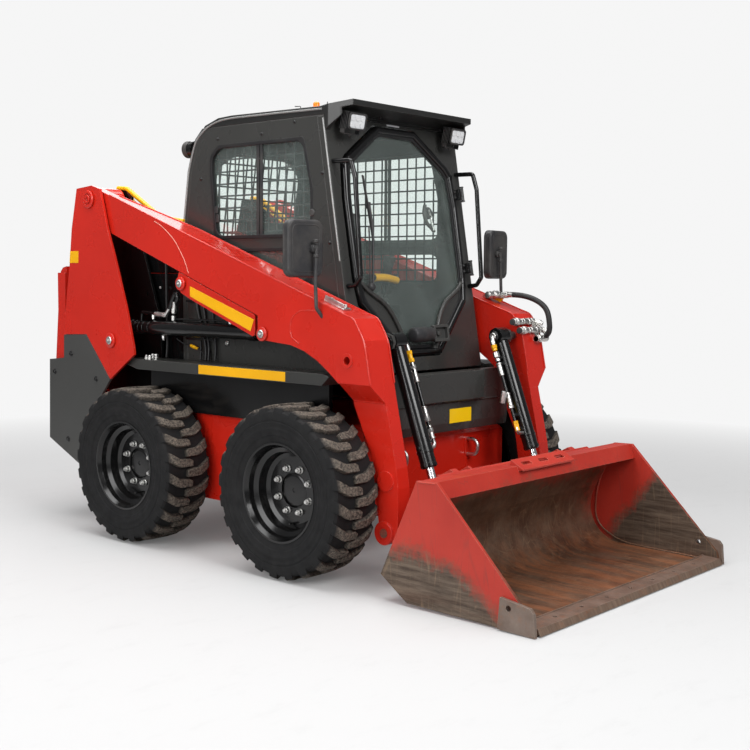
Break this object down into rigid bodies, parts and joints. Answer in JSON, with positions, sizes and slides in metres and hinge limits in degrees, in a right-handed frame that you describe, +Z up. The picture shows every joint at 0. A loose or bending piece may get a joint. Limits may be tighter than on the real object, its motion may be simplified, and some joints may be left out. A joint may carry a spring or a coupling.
{
  "type": "skid steer loader",
  "caption": "Compact wheeled loader with an enclosed cab, hydraulic lift arms and a bucket that tilts on a quick coupler.",
  "frame": {"origin": "on the ground under the middle of the machine's overall box, with the arms lowered and the bucket flat", "axes": "+Z up, -Y forward towards the bucket, +X to the machine's left"},
  "size_m": [1.714, 3.368, 2.128],
  "materials": {
    "red_paint": "gloss",
    "bucket_red": "worn",
    "charcoal_paint": "satin",
    "grey_paint": "satin",
    "black_steel": "satin",
    "yellow_paint": "gloss",
    "worn_steel": "worn",
    "chrome": "polished",
    "zinc": "satin",
    "tyre": "matt",
    "rubber": "matt",
    "glass": "polished",
    "mirror_glass": "polished",
    "lamp_lens": "polished",
    "amber_lens": "gloss",
    "black_plastic": "matt",
    "seat_vinyl": "satin",
    "engine_grey": "matt"
  },
  "bodies": {
    "chassis": {"main_frame": "red_paint", "towers": "red_paint", "rear_frame": "red_paint", "axle_housings": "black_steel", "cab_floor": "black_steel", "controls": "black_steel", "seat_base": "black_steel", "work_lights": "black_steel", "side_rails": "charcoal_paint", "cab_sides": "charcoal_paint", "cab_front": "charcoal_paint", "cab_rear": "charcoal_paint", "cab_roof": "charcoal_paint", "grab_rails": "black_steel", "side_guards": "grey_paint", "rear_bumper": "grey_paint", "tie_down_loops": "zinc", "engine": "engine_grey", "cab_windows": "glass", "beacon": "amber_lens", "seat_cushion": "seat_vinyl", "seat_backrest": "seat_vinyl", "tower_rails": "yellow_paint", "tower_inner_plates": "black_steel", "engine_side_panels": "black_steel", "side_skirts": "black_steel"},
    "wheel_front_left": {"tyre_front_left": "tyre", "wheel_rim_front_left": "black_steel"},
    "wheel_front_right": {"tyre_front_right": "tyre", "wheel_rim_front_right": "black_steel"},
    "wheel_rear_left": {"tyre_rear_left": "tyre", "wheel_rim_rear_left": "black_steel"},
    "wheel_rear_right": {"tyre_rear_right": "tyre", "wheel_rim_rear_right": "black_steel"},
    "lift_arms": {"lift_arm_left": "red_paint", "lift_arm_right": "red_paint", "arm_leg_left": "red_paint", "arm_leg_right": "red_paint", "cylinder_lock": "red_paint", "arm_crossmember": "charcoal_paint", "tilt_brackets": "charcoal_paint", "mirrors": "black_plastic", "aux_couplers": "zinc", "aux_hose": "rubber"},
    "lift_barrel_left": {"lift_barrel_left": "black_steel"},
    "lift_rod_left": {"lift_rod_left": "chrome"},
    "lift_barrel_right": {"lift_barrel_right": "black_steel"},
    "lift_rod_right": {"lift_rod_right": "chrome"},
    "tilt_barrel_left": {"tilt_barrel_left": "black_steel"},
    "tilt_rod_left": {"tilt_rod_left": "chrome"},
    "tilt_barrel_right": {"tilt_barrel_right": "black_steel"},
    "tilt_rod_right": {"tilt_rod_right": "chrome"},
    "bucket": {"bucket_shell": "bucket_red", "bucket_sides": "bucket_red", "bucket_coupler": "bucket_red", "cutting_edge": "worn_steel"},
    "cab_door": {"door_frame": "black_steel", "door_glass": "glass"},
    "rear_door": {"rear_door": "red_paint"},
    "engine_hood": {"engine_hood": "black_steel"}
  },
  "joints": [
    {"name": "wheel_front_left_roll", "type": "hinge", "parent": "chassis", "child": "wheel_front_left", "pos_m": [0.725, -0.37, 0.3865], "axis": [1, 0, 0], "continuous": true},
    {"name": "wheel_front_right_roll", "type": "hinge", "parent": "chassis", "child": "wheel_front_right", "pos_m": [-0.725, -0.37, 0.3865], "axis": [1, 0, 0], "continuous": true},
    {"name": "wheel_rear_left_roll", "type": "hinge", "parent": "chassis", "child": "wheel_rear_left", "pos_m": [0.725, 0.733, 0.3865], "axis": [1, 0, 0], "continuous": true},
    {"name": "wheel_rear_right_roll", "type": "hinge", "parent": "chassis", "child": "wheel_rear_right", "pos_m": [-0.725, 0.733, 0.3865], "axis": [1, 0, 0], "continuous": true},
    {"name": "arm_lift", "type": "hinge", "parent": "chassis", "child": "lift_arms", "pos_m": [0, 1.204, 1.723], "axis": [-1, 0, 0], "range_deg": [0, 66]},
    {"name": "bucket_tilt", "type": "hinge", "parent": "lift_arms", "child": "bucket", "pos_m": [0, -0.765, 0.228], "axis": [1, 0, 0], "range_deg": [-25, 98]},
    {"name": "lift_barrel_left_swing", "type": "hinge", "parent": "chassis", "child": "lift_barrel_left", "pos_m": [0.587, 1.025, 1.062], "axis": [-1, 0, 0], "range_deg": [-0.5, 59.32]},
    {"name": "lift_rod_left_slide", "type": "slide", "parent": "lift_barrel_left", "child": "lift_rod_left", "axis": [0, -1, 0.0027], "range_m": [-0.005, 0.7289]},
    {"name": "lift_barrel_right_swing", "type": "hinge", "parent": "chassis", "child": "lift_barrel_right", "pos_m": [-0.587, 1.025, 1.062], "axis": [-1, 0, 0], "range_deg": [-0.5, 59.32]},
    {"name": "lift_rod_right_slide", "type": "slide", "parent": "lift_barrel_right", "child": "lift_rod_right", "axis": [0, -1, 0.0027], "range_m": [-0.005, 0.7289]},
    {"name": "tilt_barrel_left_swing", "type": "hinge", "parent": "lift_arms", "child": "tilt_barrel_left", "pos_m": [0.396, -0.66, 1.043], "axis": [1, 0, 0], "range_deg": [-1.98, 6.31]},
    {"name": "tilt_rod_left_slide", "type": "slide", "parent": "tilt_barrel_left", "child": "tilt_rod_left", "axis": [0, -0.3473, -0.9377], "range_m": [-0.0848, 0.3179]},
    {"name": "tilt_barrel_right_swing", "type": "hinge", "parent": "lift_arms", "child": "tilt_barrel_right", "pos_m": [-0.396, -0.66, 1.043], "axis": [1, 0, 0], "range_deg": [-1.98, 6.31]},
    {"name": "tilt_rod_right_slide", "type": "slide", "parent": "tilt_barrel_right", "child": "tilt_rod_right", "axis": [0, -0.3473, -0.9377], "range_m": [-0.0848, 0.3179]},
    {"name": "cab_door_swing", "type": "hinge", "parent": "chassis", "child": "cab_door", "pos_m": [0.431, -0.43067, 1.5075], "axis": [0, 0.1666, 0.986], "range_deg": [0, 85]},
    {"name": "rear_door_swing", "type": "hinge", "parent": "chassis", "child": "rear_door", "pos_m": [0.604, 1.634, 0.9], "axis": [0, 0, 1], "range_deg": [-95, 0]},
    {"name": "engine_hood_lift", "type": "hinge", "parent": "chassis", "child": "engine_hood", "pos_m": [0, 0.738, 1.47], "axis": [-1, 0, 0], "range_deg": [-50, 0]}
  ],
  "couplings": [
    {"joint": "lift_barrel_left_swing", "follows": "arm_lift", "ratio": 0.89118},
    {"joint": "lift_rod_left_slide", "follows": "arm_lift", "m_per_rad": 0.62843},
    {"joint": "lift_barrel_right_swing", "follows": "arm_lift", "ratio": 0.89118},
    {"joint": "lift_rod_right_slide", "follows": "arm_lift", "m_per_rad": 0.62843},
    {"joint": "tilt_barrel_left_swing", "follows": "bucket_tilt", "ratio": 0.05929},
    {"joint": "tilt_rod_left_slide", "follows": "bucket_tilt", "m_per_rad": 0.18296},
    {"joint": "tilt_barrel_right_swing", "follows": "bucket_tilt", "ratio": 0.05929},
    {"joint": "tilt_rod_right_slide", "follows": "bucket_tilt", "m_per_rad": 0.18296}
  ]
}
